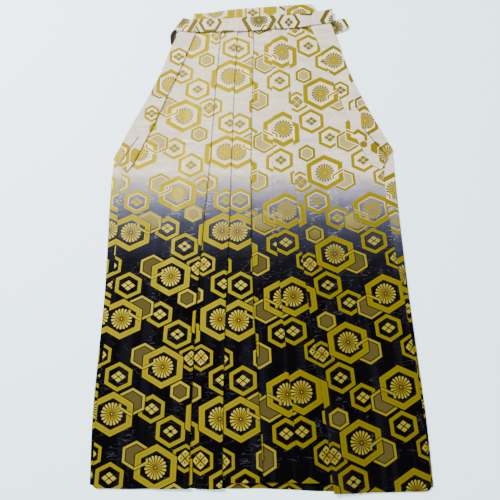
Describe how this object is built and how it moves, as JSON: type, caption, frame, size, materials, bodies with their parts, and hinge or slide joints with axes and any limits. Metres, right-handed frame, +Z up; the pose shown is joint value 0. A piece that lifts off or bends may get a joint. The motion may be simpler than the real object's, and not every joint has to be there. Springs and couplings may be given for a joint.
{
  "type": "hakama trousers",
  "caption": "Pleated wide formal hakama trousers laid flat, front up, with band, side openings and back board; gold hexagon brocade shading to black at the hem.",
  "frame": {"origin": "on the floor plane, under the centre of the garment's box", "axes": "+Z up from the floor, +Y towards the waist, +X towards the wearer's left"},
  "size_m": [0.5407, 0.901, 0.0109],
  "materials": {
    "brocade_front": "satin brocade with gold hexagons, off-white at the waist fading to black at the hem",
    "brocade_back": "the same satin brocade on the backs",
    "brocade_side": "off-white satin brocade with gold hexagons",
    "tie_cloth": "off-white brocade with dull gold hexagons, cut across",
    "tie_lining": "dark brown inner side of the tie",
    "rear_tie_cloth": "dull olive gold brocade",
    "board_cloth": "gold brocade over a stiff board"
  },
  "bodies": {
    "root": {"back_leg_right": "brocade_back", "back_leg_left": "brocade_back", "front_leg_right": "brocade_front", "front_leg_left": "brocade_front", "side_pleat_right": "brocade_side", "side_pleat_left": "brocade_side", "back_board": "board_cloth", "rear_tie_right": "rear_tie_cloth", "rear_tie_left": "rear_tie_cloth", "front_tie": "tie_cloth", "front_tie_turn": "tie_lining"}
  },
  "joints": []
}
